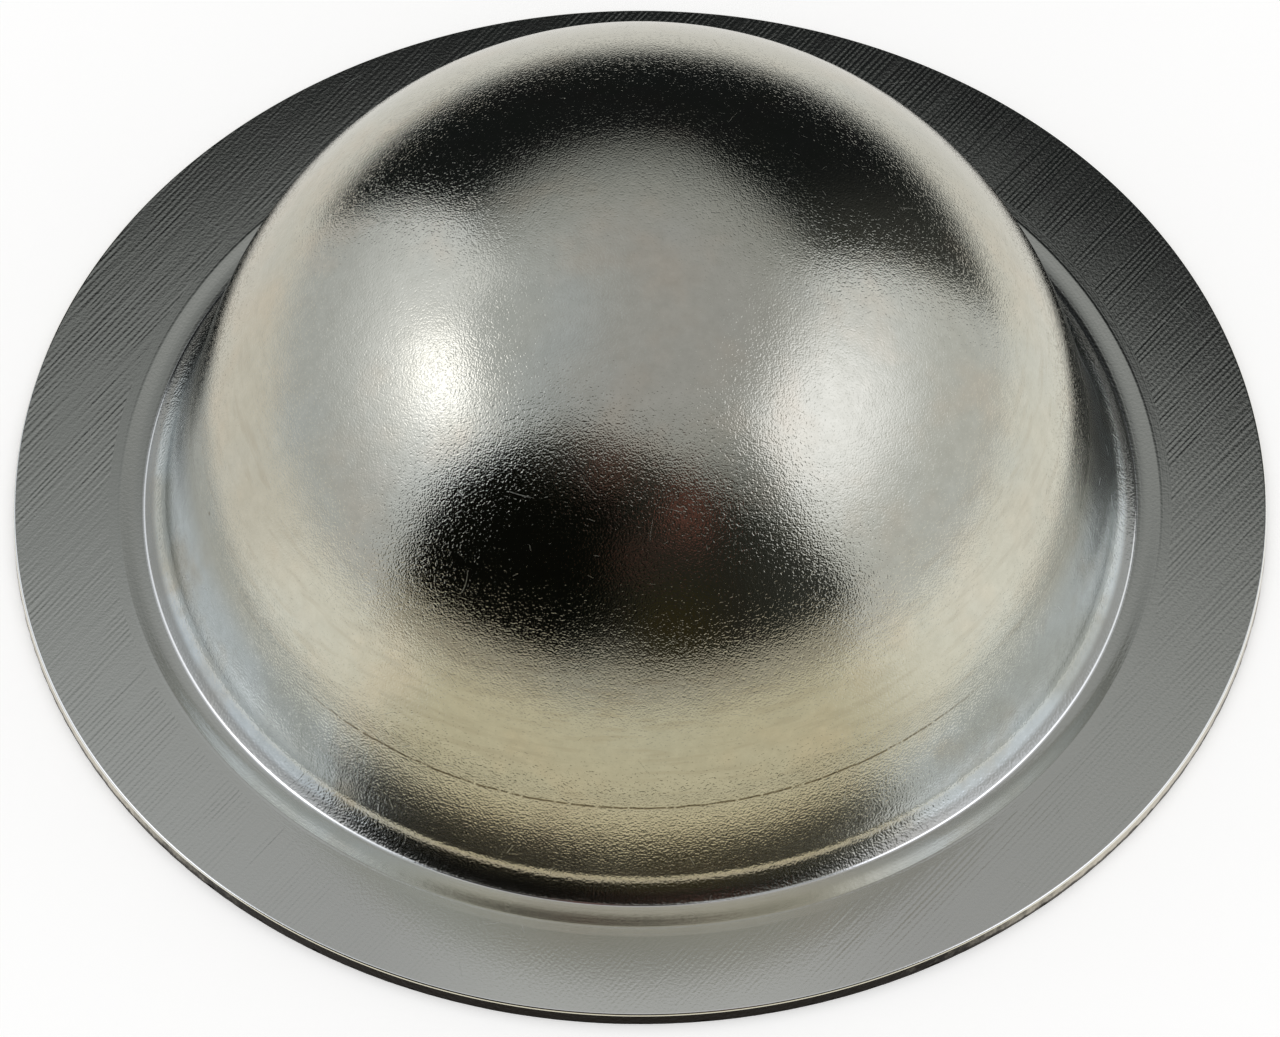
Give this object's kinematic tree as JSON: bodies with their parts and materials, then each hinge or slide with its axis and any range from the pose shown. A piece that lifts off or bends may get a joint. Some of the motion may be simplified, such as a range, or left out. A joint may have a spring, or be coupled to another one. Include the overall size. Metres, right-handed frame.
{
  "type": "hub grease cap",
  "caption": "Round drawn-steel hub cap: a spherical dome on a short flared wall with a flat flange, hollow and open underneath, that closes a wheel hub and keeps its grease in.",
  "frame": {"origin": "centre of the flange's underside", "axes": "+Z along the cap's axis, out of the top of the dome"},
  "size_m": [0.07, 0.07, 0.029],
  "materials": {
    "plated_steel": "bright plated, with a fine drawn grain on the dome and straight hairlines on the flange"
  },
  "bodies": {
    "root": {"grease_cap": "plated_steel"}
  },
  "joints": []
}
